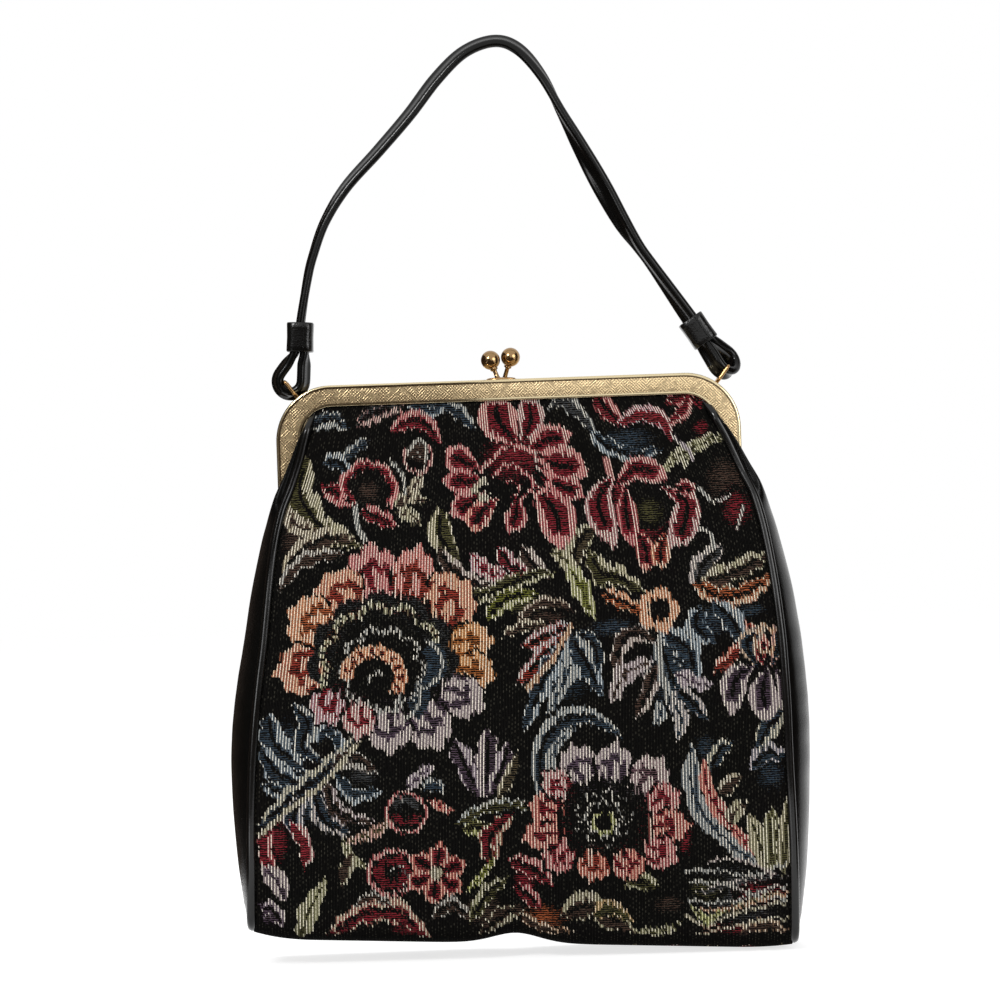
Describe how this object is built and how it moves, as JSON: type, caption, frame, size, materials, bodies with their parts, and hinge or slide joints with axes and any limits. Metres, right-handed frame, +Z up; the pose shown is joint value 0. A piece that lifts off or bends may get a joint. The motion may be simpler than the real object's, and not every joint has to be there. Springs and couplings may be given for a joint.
{
  "type": "kiss lock frame purse",
  "caption": "Kiss lock frame purse: gold-tone hinged metal frame, ball clasp, floral tapestry bag with black vinyl gussets and piping, black strap handle.",
  "frame": {"origin": "under the middle of the base, on the surface that the bag stands on", "axes": "+Z up through the frame to the handle, -Y to the front, +X to the right as seen from the front"},
  "size_m": [0.2546, 0.069, 0.3972],
  "materials": {
    "etched_gold": "champagne gold plate, finely cross-hatched on the face",
    "polished_gold": "polished gold plate",
    "black_vinyl": "black vinyl with a fine grain and a soft shine",
    "tapestry": "woven tapestry, flowers and leaves on a black ribbed ground",
    "lining_cloth": "plain black lining cloth",
    "board": "grey-brown board",
    "paper_cord": "twisted paper cord"
  },
  "bodies": {
    "bag": {"tapestry_lower": "tapestry", "base_board": "board", "gusset_left": "black_vinyl", "gusset_right": "black_vinyl", "lining_lower": "lining_cloth", "piping_front": "black_vinyl", "piping_rear": "black_vinyl"},
    "front_half": {"frame_front": "etched_gold", "paper_cord_front": "paper_cord", "kiss_stem_front": "polished_gold", "kiss_ball_front": "polished_gold", "panel_front_upper": "tapestry", "lining_front_upper": "lining_cloth", "lobe_front_left": "black_vinyl", "lobe_front_right": "black_vinyl"},
    "rear_half": {"frame_rear": "etched_gold", "paper_cord_rear": "paper_cord", "kiss_stem_rear": "polished_gold", "kiss_ball_rear": "polished_gold", "panel_rear_upper": "tapestry", "lining_rear_upper": "lining_cloth", "lobe_rear_left": "black_vinyl", "lobe_rear_right": "black_vinyl", "hinge_rivets": "polished_gold", "hinge_washers": "polished_gold", "bail_left": "polished_gold", "bail_right": "polished_gold", "strap_loop_left": "black_vinyl", "strap_loop_right": "black_vinyl", "sleeve_left": "black_vinyl", "sleeve_right": "black_vinyl", "strap_flex_left": "black_vinyl", "strap_flex_right": "black_vinyl"},
    "handle": {"strap_arch": "black_vinyl"}
  },
  "joints": [
    {"name": "front_opens", "type": "hinge", "parent": "bag", "child": "front_half", "pos_m": [0, 0, 0.192], "axis": [1, 0, 0], "range_deg": [0, 35], "deforming": ["piping_front", "lobe_front_left", "lobe_front_right"]},
    {"name": "rear_opens", "type": "hinge", "parent": "bag", "child": "rear_half", "pos_m": [0, 0, 0.192], "axis": [1, 0, 0], "range_deg": [-35, 0], "deforming": ["piping_rear", "lobe_rear_left", "lobe_rear_right"]},
    {"name": "handle_swing", "type": "hinge", "parent": "rear_half", "child": "handle", "pos_m": [0, 0.00483, 0.286], "axis": [1, 0, 0], "range_deg": [-120, 120], "deforming": ["strap_flex_left", "strap_flex_right"]}
  ],
  "couplings": [
    {"joint": "rear_opens", "follows": "front_opens", "ratio": -1}
  ]
}
